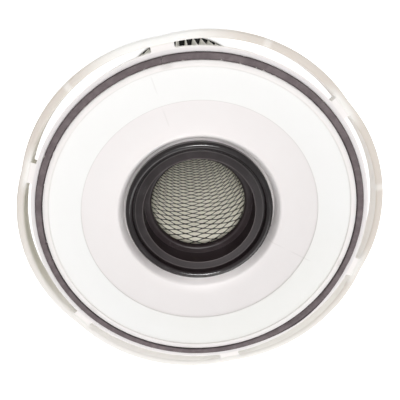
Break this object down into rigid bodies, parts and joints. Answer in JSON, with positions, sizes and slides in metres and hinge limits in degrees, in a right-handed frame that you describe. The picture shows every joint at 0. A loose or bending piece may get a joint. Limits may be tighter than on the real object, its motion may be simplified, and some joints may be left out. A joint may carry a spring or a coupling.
{
  "type": "hepa filter cartridge",
  "caption": "Pleated cylindrical HEPA cartridge with a dished flange in a slotted, lobed rim, a flange gasket, a rubber outlet port and an expanded metal core.",
  "frame": {"origin": "centre of the closed cap's foot, on the cartridge axis", "axes": "+Z along the cartridge axis, towards the flange and its outlet port"},
  "size_m": [0.3838, 0.3808, 0.6618],
  "materials": {
    "flange_plastic": "smooth moulded satin white",
    "cap_plastic": "smooth moulded satin white",
    "gasket_foam": "matt closed-cell strip",
    "port_rubber": "satin moulded black rubber",
    "galvanised_mesh": "dull galvanised expanded metal",
    "filter_paper": "matt folded filter sheet",
    "sealant": "cast black polyurethane"
  },
  "bodies": {
    "root": {"flange_plate": "flange_plastic", "flange_gasket": "gasket_foam", "port_seal": "port_rubber", "inner_core": "galvanised_mesh", "inner_sleeve": "filter_paper", "pleated_media": "filter_paper", "top_sealant": "sealant", "bottom_sealant": "sealant", "bottom_cap": "cap_plastic"}
  },
  "joints": []
}
